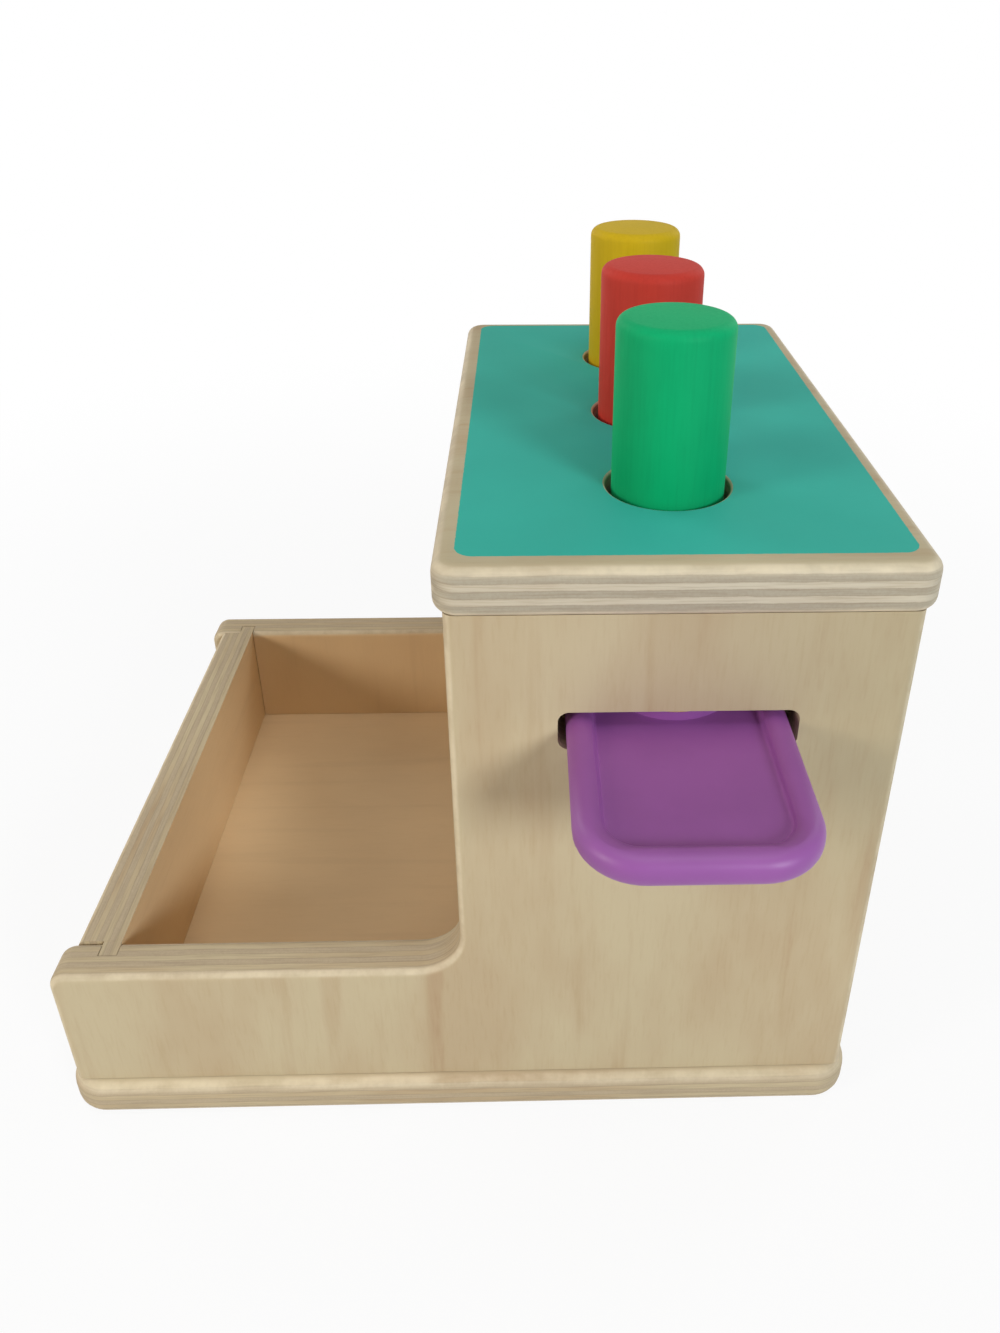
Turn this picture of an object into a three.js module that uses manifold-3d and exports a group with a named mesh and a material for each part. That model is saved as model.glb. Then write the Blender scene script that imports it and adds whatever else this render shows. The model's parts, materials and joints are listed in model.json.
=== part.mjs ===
// Peg drop toy: a plywood tower with three pegs, a push-in release slider and an open tray.
// Millimetres, +Z up. X runs from the tray to the tower, Y from the front end to the rear end.
// The origin is the middle of the base board's underside.

import * as THREE from 'three';
import { mergeVertices } from 'three/addons/utils/BufferGeometryUtils.js';
import Module from 'manifold-3d';

const wasm = await Module();
wasm.setup();

// Boards
const boardThickness = 12.7;
const panelLength = 222.5;
const towerWidth = 109.6;
const towerHeight = 155;
const traySideHeight = 42;
const stepFillet = 12;
const trayCorner = 5;
const boardEdge = 2.5;
const wallInset = 4.3;
const exitHeight = 103;

// Lid and base
const lidOverhang = 2.2;
const lidCorner = 6;
const lidEdge = 3.2;
const baseOverhang = 3.2;
const baseCorner = 11;
const baseEdge = 4.5;

// Tongues of the walls, let into grooves in the end panels
const tongueThickness = 5;
const tongueLength = 5;
const tongueInset = 7.7;
const tongueDrop = 0.8;

// Pegs and their row along the tower
const pegDiameter = 28.6;
const pegLength = 84;
const pegEdge = 2.6;
const pegHoleClearance = 1.55;
const pegHoleEdge = 0.8;
const pegPitch = 53;
const rowFrontMargin = 43;
const rowRearMargin = 41;

// Release slider
const sliderWidth = 53.5;
const sliderThickness = 7.6;
const sliderDrop = 28.9;
const sliderEdge = 3.2;
const sliderRearCorner = 6;
const tabReach = 48;
const tabCorner = 15;
const beadWidth = 6.5;
const recessDepth = 2.6;
const recessPastFace = 8;
const holeRim = 2.2;
const pushTravel = 24;
const earReach = 3.4;
const earLength = 6;
const earThickness = 4;

// Slot in the front end panel
const slotSideClearance = 1.5;
const slotTopClearance = 1.6;
const slotBottomClearance = 0.6;
const slotCorner = 3.3;

// Slider rails
const railGrip = 3.2;
const railLip = 8;

// Ramp under the slider
const rampThickness = 9;
const rampRise = 62;
const rampToe = 2;
const cleatWidth = 16;
const cleatHeight = 20;

// Dowels and screws
const dowelDiameter = 6;
const dowelInLid = 8;
const dowelInPanel = 15;
const dowelEdge = 0.8;
const dowelEndMargin = 26;
const screwDiameter = 3.5;
const screwHeadDiameter = 7.2;
const screwHeadHeight = 2.6;
const screwLength = 30;
const screwSink = 0.4;
const screwPoint = 4;
const screwEndMargin = 30;

// Clearances
const glueLine = 0.1;
const fitGap = 0.3;
const runGap = 0.3;
const grooveTopGap = 0.5;
const earGap = 0.8;
const stopGap = 0.5;

// Round shapes are drawn with these many steps
const roundSteps = 32;
const smallSteps = 16;
const cornerSteps = 5;
const bevelSteps = 3;
const overCut = 1;

// Places that follow from the sizes above
const boxDepth = rowFrontMargin + 2 * pegPitch + rowRearMargin;
const frontFace = -boxDepth / 2;
const rearFace = boxDepth / 2;
const frontInner = frontFace + boardThickness;
const rearInner = rearFace - boardThickness;
const panelLeft = -panelLength / 2;
const panelRight = panelLength / 2;
const towerLeft = panelRight - towerWidth;
const towerMid = panelRight - towerWidth / 2;
const baseTop = boardThickness;
const trayRim = baseTop + traySideHeight;
const lidUnder = baseTop + towerHeight;
const lidTop = lidUnder + boardThickness;
const footHeight = baseTop + glueLine;
const headHeight = lidUnder - glueLine;

const trayWallOuter = panelLeft + wallInset;
const sideWallInner = panelRight - wallInset - boardThickness;
const curtainOuter = towerLeft + wallInset;
const curtainInner = curtainOuter + boardThickness;
const exitTop = baseTop + exitHeight;
const curtainTongueFoot = exitTop + boardEdge;

const pegRadius = pegDiameter / 2;
const pegHoleRadius = pegRadius + pegHoleClearance;
const pegRows = [0, 1, 2].map((row) => frontFace + rowFrontMargin + row * pegPitch);

const sliderTop = lidUnder - sliderDrop;
const sliderBottom = sliderTop - sliderThickness;
const sliderFront = frontFace - tabReach;
const sliderRear = rearInner - pushTravel - stopGap;
const sliderHalf = sliderWidth / 2;

// Colours of the real toy
const birch = { color: 0xd8c69c, roughness: 0.62, metalness: 0 };
const softwood = { color: 0xcdb589, roughness: 0.7, metalness: 0 };
const teal = { color: 0x58b3a4, roughness: 0.5, metalness: 0 };
const purple = { color: 0x8f4fa0, roughness: 0.38, metalness: 0 };
const green = { color: 0x12a874, roughness: 0.45, metalness: 0 };
const red = { color: 0xbf4038, roughness: 0.45, metalness: 0 };
const yellow = { color: 0xc6a51c, roughness: 0.45, metalness: 0 };
const steel = { color: 0xb9bcc0, roughness: 0.35, metalness: 1 };

// A closed three.js geometry as a solid for joining and cutting
function solidOf(geometry) {
  const bare = geometry.clone();
  bare.deleteAttribute('normal');
  bare.deleteAttribute('uv');
  const merged = mergeVertices(bare, 1e-5);
  const mesh = new wasm.Mesh({
    numProp: 3,
    vertProperties: new Float32Array(merged.attributes.position.array),
    triVerts: new Uint32Array(merged.index.array),
  });
  return new wasm.Manifold(mesh);
}

// A solid back as a three.js geometry
function geometryOf(solid) {
  const mesh = solid.getMesh();
  const geometry = new THREE.BufferGeometry();
  geometry.setAttribute('position', new THREE.BufferAttribute(new Float32Array(mesh.vertProperties), 3));
  geometry.setIndex(new THREE.BufferAttribute(new Uint32Array(mesh.triVerts), 1));
  geometry.computeVertexNormals();
  return geometry;
}

function block(x0, x1, y0, y1, z0, z1) {
  const geometry = new THREE.BoxGeometry(x1 - x0, y1 - y0, z1 - z0);
  geometry.translate((x0 + x1) / 2, (y0 + y1) / 2, (z0 + z1) / 2);
  return solidOf(geometry);
}

// A turned solid about a vertical axis; the profile is a list of [radius, height] from axis to axis
function turned(profile, x, y, steps) {
  const points = profile.map(([radius, height]) => new THREE.Vector2(radius, height));
  const geometry = new THREE.LatheGeometry(points, steps);
  geometry.rotateX(Math.PI / 2);
  geometry.translate(x, y, 0);
  return solidOf(geometry);
}

// A flat outline in X and Y, raised from z0 to z1 with rounded upper and lower edges
function raised(shape, z0, z1, edge = 0) {
  const geometry = new THREE.ExtrudeGeometry(shape, extrusion(z1 - z0, edge));
  geometry.translate(0, 0, z0 + edge);
  return solidOf(geometry);
}

// An upright outline in X and Z, drawn out along Y from y0 to y1 with rounded front and rear edges
function drawnOut(shape, y0, y1, edge = 0) {
  const geometry = new THREE.ExtrudeGeometry(shape, extrusion(y1 - y0, edge));
  geometry.rotateX(Math.PI / 2);
  geometry.translate(0, y1 - edge, 0);
  return solidOf(geometry);
}

function extrusion(length, edge) {
  return {
    depth: length - 2 * edge,
    curveSegments: cornerSteps,
    bevelEnabled: edge > 0,
    bevelThickness: edge,
    bevelSize: edge,
    bevelOffset: -edge,
    bevelSegments: bevelSteps,
  };
}

// A closed outline through corner points [x, y, radius], each corner rounded by its own radius
function outline(corners) {
  const shape = new THREE.Shape();
  const count = corners.length;
  corners.forEach(([x, y, radius = 0], i) => {
    const here = new THREE.Vector2(x, y);
    const before = new THREE.Vector2(...corners[(i + count - 1) % count]);
    const after = new THREE.Vector2(...corners[(i + 1) % count]);
    const inward = before.sub(here).normalize();
    const onward = after.sub(here).normalize();
    const half = Math.acos(inward.dot(onward)) / 2;
    const reach = radius / Math.tan(half);
    const start = here.clone().addScaledVector(inward, reach);
    if (i === 0) shape.moveTo(start.x, start.y);
    else shape.lineTo(start.x, start.y);
    if (radius === 0) return;
    const middle = inward.clone().add(onward).normalize();
    const centre = here.clone().addScaledVector(middle, radius / Math.sin(half));
    const end = here.clone().addScaledVector(onward, reach);
    const from = Math.atan2(start.y - centre.y, start.x - centre.x);
    const to = Math.atan2(end.y - centre.y, end.x - centre.x);
    const turn = Math.atan2(Math.sin(to - from), Math.cos(to - from));
    shape.absarc(centre.x, centre.y, radius, from, to, turn < 0);
  });
  shape.closePath();
  return shape;
}

function rectangle(x0, x1, y0, y1, radius = 0) {
  return outline([[x0, y0, radius], [x1, y0, radius], [x1, y1, radius], [x0, y1, radius]]);
}

// A round hole right through a board, with softened rims
function roundHole(radius, x, y, z0, z1, rim) {
  const flare = radius + rim + overCut;
  const profile = [
    [0, z0 - overCut],
    [flare, z0 - overCut],
    [radius, z0 + rim],
    [radius, z1 - rim],
    [flare, z1 + overCut],
    [0, z1 + overCut],
  ];
  return turned(profile, x, y, roundSteps);
}

// A quarter-round run of profile points between two angles
function quarter(radius, height, round, from, to) {
  const points = [];
  for (let step = 0; step <= bevelSteps; step += 1) {
    const angle = from + ((to - from) * step) / bevelSteps;
    points.push([radius + round * Math.cos(angle), height + round * Math.sin(angle)]);
  }
  return points;
}

function piece(name, solid, finish) {
  const mesh = new THREE.Mesh(geometryOf(solid), new THREE.MeshStandardMaterial(finish));
  mesh.name = name;
  return mesh;
}

// Places of the dowels and screws in an end panel
const dowelPlaces = [towerLeft + dowelEndMargin, panelRight - dowelEndMargin];
const screwPlaces = [panelLeft + screwEndMargin, 0, panelRight - screwEndMargin];
const endMiddles = [frontFace + boardThickness / 2, rearFace - boardThickness / 2];

function dowelSolid(x, y, gap) {
  const radius = dowelDiameter / 2 + gap;
  const z0 = lidUnder - dowelInPanel - gap;
  const z1 = lidUnder + dowelInLid + gap;
  const shoulder = radius - dowelEdge;
  const profile = [
    [0, z0],
    [shoulder, z0],
    [radius, z0 + dowelEdge],
    [radius, z1 - dowelEdge],
    [shoulder, z1],
    [0, z1],
  ];
  return turned(profile, x, y, smallSteps);
}

function screwSolid(x, y) {
  const shank = screwDiameter / 2;
  const headTop = screwSink + screwHeadHeight;
  const tip = screwSink + screwLength;
  const profile = [
    [0, screwSink],
    [screwHeadDiameter / 2, screwSink],
    [shank, headTop],
    [shank, tip - screwPoint],
    [0, tip],
  ];
  return turned(profile, x, y, smallSteps);
}

// The room that a screw needs: a countersunk clearance hole and a pilot hole above it
function screwHole(x, y) {
  const shank = screwDiameter / 2 + fitGap;
  const head = screwHeadDiameter / 2 + fitGap;
  const headTop = screwSink + screwHeadHeight;
  const tip = screwSink + screwLength + fitGap;
  const profile = [
    [0, -overCut],
    [head, -overCut],
    [head, screwSink],
    [shank, headTop],
    [shank, tip],
    [0, tip],
  ];
  return turned(profile, x, y, smallSteps);
}

// End panels: one L-shaped board each, square where they meet the base and the lid
function endPanel(y0, y1, innerY, middleY) {
  const shape = outline([
    [panelLeft, baseTop - boardEdge],
    [panelRight, baseTop - boardEdge],
    [panelRight, lidUnder + boardEdge],
    [towerLeft, lidUnder + boardEdge],
    [towerLeft, trayRim, stepFillet],
    [panelLeft, trayRim, trayCorner],
  ]);
  const trim = block(panelLeft - overCut, panelRight + overCut, y0 - overCut, y1 + overCut, footHeight, headHeight);
  let panel = drawnOut(shape, y0, y1, boardEdge).intersect(trim);
  const walls = [
    [trayWallOuter, 1, 0],
    [curtainOuter, 1, curtainTongueFoot - fitGap],
    [sideWallInner + boardThickness, -1, 0],
  ];
  for (const [outer, side, foot] of walls) {
    panel = panel.subtract(wallGroove(outer, side, foot, innerY, Math.sign(middleY)));
  }
  for (const x of dowelPlaces) panel = panel.subtract(dowelSolid(x, middleY, fitGap));
  for (const x of screwPlaces) panel = panel.subtract(screwHole(x, middleY));
  return panel;
}

// X range of a wall's tongue, measured from the wall's outer face towards its inside
function tongueSpan(outer, side, gap) {
  const near = outer + side * tongueInset;
  const far = near + side * tongueThickness;
  return [Math.min(near, far) - gap, Math.max(near, far) + gap];
}

function wallGroove(outer, side, foot, innerY, end) {
  const [x0, x1] = tongueSpan(outer, side, fitGap);
  const floor = innerY + end * (tongueLength + fitGap);
  const mouth = innerY - end * overCut;
  return block(x0, x1, Math.min(floor, mouth), Math.max(floor, mouth), foot, lidTop);
}

// A wall between the end panels with a tongue at each end
function wallBoard(shape, outer, side, z0, z1) {
  const [x0, x1] = tongueSpan(outer, side, 0);
  const board = drawnOut(shape, frontInner + glueLine, rearInner - glueLine);
  const tongue = block(x0, x1, frontInner - tongueLength, rearInner + tongueLength, z0, z1 - tongueDrop);
  return board.add(tongue);
}

function trayWall() {
  const inner = trayWallOuter + boardThickness;
  const shape = outline([
    [trayWallOuter, footHeight],
    [inner, footHeight],
    [inner, trayRim, boardEdge],
    [trayWallOuter, trayRim, boardEdge],
  ]);
  return wallBoard(shape, trayWallOuter, 1, footHeight, trayRim);
}

function towerSideWall() {
  const outer = sideWallInner + boardThickness;
  const shape = rectangle(sideWallInner, outer, footHeight, headHeight);
  return wallBoard(shape, outer, -1, footHeight, headHeight);
}

function exitCurtainWall() {
  const shape = outline([
    [curtainOuter, exitTop, boardEdge],
    [curtainInner, exitTop, boardEdge],
    [curtainInner, headHeight],
    [curtainOuter, headHeight],
  ]);
  return wallBoard(shape, curtainOuter, 1, curtainTongueFoot, headHeight);
}

function frontEndPanel() {
  const half = sliderHalf + slotSideClearance;
  const slotBottom = sliderBottom - slotBottomClearance;
  const slotTop = sliderTop + slotTopClearance;
  const slot = rectangle(towerMid - half, towerMid + half, slotBottom, slotTop, slotCorner);
  return endPanel(frontFace, frontInner, frontInner, endMiddles[0])
    .subtract(drawnOut(slot, frontFace - overCut, frontInner + overCut));
}

function rearEndPanel() {
  return endPanel(rearInner, rearFace, rearInner, endMiddles[1]);
}

function baseBoard() {
  const reach = baseOverhang;
  const shape = rectangle(panelLeft - reach, panelRight + reach, frontFace - reach, rearFace + reach, baseCorner);
  let base = raised(shape, 0, baseTop, baseEdge);
  for (const y of endMiddles) {
    for (const x of screwPlaces) base = base.subtract(screwHole(x, y));
  }
  return base;
}

function lid() {
  const reach = lidOverhang;
  const shape = rectangle(towerLeft - reach, panelRight + reach, frontFace - reach, rearFace + reach, lidCorner);
  let board = raised(shape, lidUnder, lidTop, lidEdge);
  for (const y of pegRows) {
    board = board.subtract(roundHole(pegHoleRadius, towerMid, y, lidUnder, lidTop, pegHoleEdge));
  }
  for (const y of endMiddles) {
    for (const x of dowelPlaces) board = board.subtract(dowelSolid(x, y, fitGap));
  }
  return board;
}

function peg(y) {
  const z0 = sliderTop + runGap;
  const z1 = z0 + pegLength;
  const inner = pegRadius - pegEdge;
  const profile = [
    [0, z0],
    ...quarter(inner, z0 + pegEdge, pegEdge, -Math.PI / 2, 0),
    ...quarter(inner, z1 - pegEdge, pegEdge, 0, Math.PI / 2),
    [0, z1],
  ];
  return turned(profile, towerMid, y, roundSteps);
}

// Slider: a moulded plate with a beaded tab outside, three holes inside and two ears that stop it
function releaseSlider() {
  const left = towerMid - sliderHalf;
  const right = towerMid + sliderHalf;
  const plate = outline([
    [left, sliderFront, tabCorner],
    [right, sliderFront, tabCorner],
    [right, sliderRear, sliderRearCorner],
    [left, sliderRear, sliderRearCorner],
  ]);
  const earFront = frontInner + stopGap;
  const earMiddle = (sliderTop + sliderBottom) / 2;
  const ears = block(
    left - earReach,
    right + earReach,
    earFront,
    earFront + earLength,
    earMiddle - earThickness / 2,
    earMiddle + earThickness / 2,
  );
  let slider = raised(plate, sliderBottom, sliderTop, sliderEdge).add(ears).subtract(tabRecess(left, right));
  for (const y of pegRows) {
    const hole = roundHole(pegHoleRadius, towerMid, y - pushTravel, sliderBottom, sliderTop, pegHoleEdge);
    slider = slider.subtract(hole);
  }
  return slider;
}

// The sunk middle of the tab; it stops at the raised rim of the first hole
function tabRecess(left, right) {
  const innerCorner = tabCorner - beadWidth;
  const rear = frontFace + recessPastFace;
  const shape = outline([
    [left + beadWidth, sliderFront + beadWidth, innerCorner],
    [right - beadWidth, sliderFront + beadWidth, innerCorner],
    [right - beadWidth, rear],
    [left + beadWidth, rear],
  ]);
  const floor = sliderTop - recessDepth;
  const rim = pegHoleRadius + holeRim;
  const rimPost = turned(
    [[0, floor - overCut], [rim, floor - overCut], [rim, sliderTop + overCut], [0, sliderTop + overCut]],
    towerMid,
    pegRows[0] - pushTravel,
    roundSteps,
  );
  return raised(shape, floor, sliderTop + overCut).subtract(rimPost);
}

// Grooved strip between a tower wall and the slider's edge; side is -1 by the exit and 1 by the side wall
function sliderRail(side) {
  const wall = side > 0 ? sideWallInner - glueLine : curtainInner + glueLine;
  const lips = towerMid + side * (sliderHalf - railGrip);
  const grooveFloor = towerMid + side * (sliderHalf + earReach + earGap);
  const grooveBottom = sliderBottom - runGap;
  const grooveTop = sliderTop + grooveTopGap;
  const y0 = frontInner + glueLine;
  const y1 = rearInner - glueLine;
  const mouth = lips - side * overCut;
  const strip = block(
    Math.min(wall, lips),
    Math.max(wall, lips),
    y0,
    y1,
    grooveBottom - railLip,
    grooveTop + railLip,
  );
  const groove = block(
    Math.min(grooveFloor, mouth),
    Math.max(grooveFloor, mouth),
    y0 - overCut,
    y1 + overCut,
    grooveBottom,
    grooveTop,
  );
  return strip.subtract(groove);
}

// Ramp: rises from the exit to the side wall; its underside lies on the cleat
const rampLow = curtainOuter;
const rampHigh = sideWallInner - glueLine;
const rampSlope = (rampRise - rampToe) / (rampHigh - rampLow);
const rampDrop = rampThickness * Math.sqrt(1 + rampSlope * rampSlope);

function rampUnderside(x) {
  return baseTop + rampToe + rampSlope * (x - rampLow) - rampDrop;
}

function pegRamp() {
  const heel = rampLow + (rampDrop - rampToe + glueLine) / rampSlope;
  const shape = outline([
    [rampLow, footHeight],
    [heel, footHeight],
    [rampHigh, rampUnderside(rampHigh)],
    [rampHigh, baseTop + rampRise],
    [rampLow, baseTop + rampToe],
  ]);
  return drawnOut(shape, frontInner + glueLine, rearInner - glueLine);
}

function rampCleat() {
  const inner = rampHigh - cleatWidth;
  const top = rampUnderside(rampHigh) - fitGap;
  const shape = outline([
    [inner, top - cleatHeight],
    [rampHigh, top - cleatHeight],
    [rampHigh, top],
    [inner, rampUnderside(inner) - fitGap],
  ]);
  return drawnOut(shape, frontInner + glueLine, rearInner - glueLine);
}

const toy = new THREE.Group();
toy.add(
  piece('base_board', baseBoard(), birch),
  piece('front_end_panel', frontEndPanel(), birch),
  piece('rear_end_panel', rearEndPanel(), birch),
  piece('tray_wall', trayWall(), birch),
  piece('tower_side_wall', towerSideWall(), birch),
  piece('exit_curtain_wall', exitCurtainWall(), birch),
  piece('slider_rail_exit_side', sliderRail(-1), softwood),
  piece('slider_rail_wall_side', sliderRail(1), softwood),
  piece('peg_ramp', pegRamp(), birch),
  piece('ramp_cleat', rampCleat(), softwood),
  piece('lid', lid(), teal),
  piece('release_slider', releaseSlider(), purple),
);

[['peg_green', green], ['peg_red', red], ['peg_yellow', yellow]].forEach(([name, finish], row) => {
  toy.add(piece(name, peg(pegRows[row]), finish));
});

endMiddles.forEach((y, end) => {
  const where = ['front', 'rear'][end];
  dowelPlaces.forEach((x, i) => {
    toy.add(piece(`lid_dowel_${where}_${i + 1}`, dowelSolid(x, y, 0), softwood));
  });
  screwPlaces.forEach((x, i) => {
    toy.add(piece(`base_screw_${where}_${i + 1}`, screwSolid(x, y), steel));
  });
});

export default toy;
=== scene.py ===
"""Peg drop toy: a plywood tower with three pegs, a push-in release slider and an open tray.

Laid out as a Blender add-on and run as a script. Everything is in metres, in the frame of the
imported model: X runs from the tray to the tower, Y from the front end to the rear end, Z is up.
"""

import json
import math

import bmesh
import bpy
from mathutils import Matrix, Vector


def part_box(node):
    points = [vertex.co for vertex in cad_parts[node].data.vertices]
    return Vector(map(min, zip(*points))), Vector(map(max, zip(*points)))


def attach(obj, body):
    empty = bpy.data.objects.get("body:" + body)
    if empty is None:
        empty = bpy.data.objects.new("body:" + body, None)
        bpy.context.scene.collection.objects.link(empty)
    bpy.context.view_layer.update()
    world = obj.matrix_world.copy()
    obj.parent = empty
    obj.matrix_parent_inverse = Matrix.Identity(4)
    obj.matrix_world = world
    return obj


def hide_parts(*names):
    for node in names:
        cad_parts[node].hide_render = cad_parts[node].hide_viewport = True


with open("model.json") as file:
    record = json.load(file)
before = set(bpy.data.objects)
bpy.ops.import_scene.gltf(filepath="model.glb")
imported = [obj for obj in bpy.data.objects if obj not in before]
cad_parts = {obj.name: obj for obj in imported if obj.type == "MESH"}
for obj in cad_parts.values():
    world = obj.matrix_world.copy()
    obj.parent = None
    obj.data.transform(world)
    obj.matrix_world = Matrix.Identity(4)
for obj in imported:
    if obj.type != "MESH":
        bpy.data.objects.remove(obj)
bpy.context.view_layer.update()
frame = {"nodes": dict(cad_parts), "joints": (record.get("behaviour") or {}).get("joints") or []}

bl_info = {
    "name": "Peg Drop Toy",
    "version": (1, 0, 0),
    "blender": (4, 5, 0),
    "location": "View3D > Sidebar > Peg Drop Toy",
    "description": "Dresses the packed peg drop toy in plywood, paint and moulded plastic",
    "category": "Add Mesh",
}

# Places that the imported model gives
BASE_LOW, BASE_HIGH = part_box("base_board")
LID_LOW, LID_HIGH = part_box("lid")
FRONT_LOW, FRONT_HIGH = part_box("front_end_panel")
REAR_LOW, REAR_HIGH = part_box("rear_end_panel")
TRAY_LOW, TRAY_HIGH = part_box("tray_wall")
SIDE_LOW, SIDE_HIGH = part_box("tower_side_wall")
CURTAIN_LOW, CURTAIN_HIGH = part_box("exit_curtain_wall")
SLIDER_LOW, SLIDER_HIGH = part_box("release_slider")
PEG_NAMES = ("peg_green", "peg_red", "peg_yellow")
PEG_BODIES = ("green_peg", "red_peg", "yellow_peg")
SCREW_NODES = [f"base_screw_{end}_{i}" for end in ("front", "rear") for i in (1, 2, 3)]
DOWEL_NODES = [f"lid_dowel_{end}_{i}" for end in ("front", "rear") for i in (1, 2)]

THICKNESS = LID_HIGH.z - LID_LOW.z
TRAY_RIM = TRAY_HIGH.z
PEG_X = sum(corner.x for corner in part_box("peg_green")) / 2
PEG_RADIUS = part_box("peg_green")[1].x - PEG_X
PEG_ROWS = [sum(corner.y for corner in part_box(name)) / 2 for name in PEG_NAMES]
PUSH_TRAVEL = next(j["range_m"][1] for j in frame["joints"] if j["name"] == "slider_push")

# How finely round shapes are drawn
EDGE_STEPS = 6
CORNER_STEPS = 12
HOLE_STEPS = 96
PEG_RINGS = 72
PEG_STEPS = 96
HEAD_STEPS = 48
SHANK_STEPS = 24
SUPPORT = 0.0004
OVERCUT = 0.002
SHARP_ANGLE = math.radians(32)
MM = 0.001
WALL_GAP = 0.1 * MM
SCREW_TIP = 0.2 * MM


def srgb(red, green, blue):
    """A colour written in 0 to 255 display values, as Blender's linear values."""
    shares = [value / 255 for value in (red, green, blue)]
    return tuple(s / 12.92 if s <= 0.04045 else ((s + 0.055) / 1.055) ** 2.4 for s in shares)


def length(name, description, millimetres):
    return bpy.props.FloatProperty(
        name=name, description=description, default=millimetres * MM, min=0, unit="LENGTH", precision=5
    )


def colour(name, description, red, green, blue):
    return bpy.props.FloatVectorProperty(
        name=name,
        description=description,
        default=srgb(red, green, blue),
        subtype="COLOR",
        size=3,
        min=0,
        max=1,
    )


class PegDropSizes(bpy.types.PropertyGroup):
    """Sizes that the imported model's boxes don't give"""

    board_edge: length("Board edge", "Rounding of the panels' and walls' edges", 2.5)
    lid_edge: length("Lid edge", "Rounding of the lid's edges", 3.2)
    lid_corner: length("Lid corner", "Corner radius of the lid seen from above", 6)
    base_edge: length("Base edge", "Rounding of the base board's edges", 4.5)
    base_corner: length("Base corner", "Corner radius of the base board seen from above", 11)
    tower_left: length("Tower edge", "From the panel's right end to the tower's tray side", 109.6)
    step_fillet: length("Step fillet", "Radius of the inner corner between tray side and tower", 12)
    tray_corner: length("Tray corner", "Radius of the panels' low outer corner", 5)
    tongue_thickness: length("Tongue thickness", "Thickness of the walls' tongues", 5)
    tongue_length: length("Tongue length", "How far the tongues go into the end panels", 5)
    tongue_drop: length("Tongue drop", "How far the tongues end below the wall's top", 0.1)
    joint_gap: length("Joint gap", "Gap round the tongues in their grooves", 0.2)
    hole_gap: length("Peg hole gap", "Radial gap between a peg and its hole", 1.55)
    hole_edge: length("Peg hole edge", "Rounding of the peg holes' rims", 0.8)
    slot_half: length("Slot half width", "Half the width of the slider's slot", 28.25)
    slot_above: length("Slot above", "Gap above the slider in its slot", 1.6)
    slot_below: length("Slot below", "Gap below the slider in its slot", 0.6)
    slot_corner: length("Slot corner", "Corner radius of the slot", 3.3)
    slot_edge: length("Slot edge", "Rounding of the slot's rims", 0.5)
    peg_edge: length("Peg edge", "Rounding of the pegs' ends", 2.6)
    slider_edge: length("Slider edge", "Rounding of the slider's edges", 3.4)
    slider_half: length("Slider half width", "Half the width of the slider", 26.75)
    tab_corner: length("Tab corner", "Corner radius of the slider's tab", 15)
    slider_rear_corner: length("Slider rear corner", "Corner radius of the slider's inner end", 6)
    bead_width: length("Bead width", "Width of the bead round the tab", 6.5)
    bead_round: length("Bead round", "Width of the rounding on the bead's inner side", 2.6)
    recess_depth: length("Recess depth", "How far the middle of the tab is sunk", 2.6)
    recess_past_face: length("Recess past face", "How far the sunk middle goes on inside the slot", 8)
    recess_fillet: length("Recess fillet", "Rounding at the foot of the bead", 0.9)
    hole_rim: length("Hole rim", "Width of the raised rim round the slider's first hole", 0.3)
    ear_length: length("Ear length", "Length of the slider's stop ears", 6)
    ear_thickness: length("Ear thickness", "Thickness of the slider's stop ears", 4)
    ear_gap: length("Ear gap", "Gap between the ears and the front panel", 0.5)
    screw_head: length("Screw head", "Diameter of a screw's head", 7.2)
    screw_head_height: length("Screw head height", "Height of a screw's countersunk head", 2.6)
    screw_shank: length("Screw shank", "Diameter of a screw's shank", 3.5)
    screw_point: length("Screw point", "Length of a screw's point", 4)
    paint_left: length("Paint margin, tray side", "Bare border of the lid on the tray side", 5.1)
    paint_right: length("Paint margin, far side", "Bare border of the lid away from the tray", 4.2)
    paint_front: length("Paint margin, front", "Bare border of the lid at the front", 6.3)
    paint_rear: length("Paint margin, rear", "Bare border of the lid at the rear", 4.3)
    paint_corner: length("Paint corner", "Corner radius of the painted field", 4.5)


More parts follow.
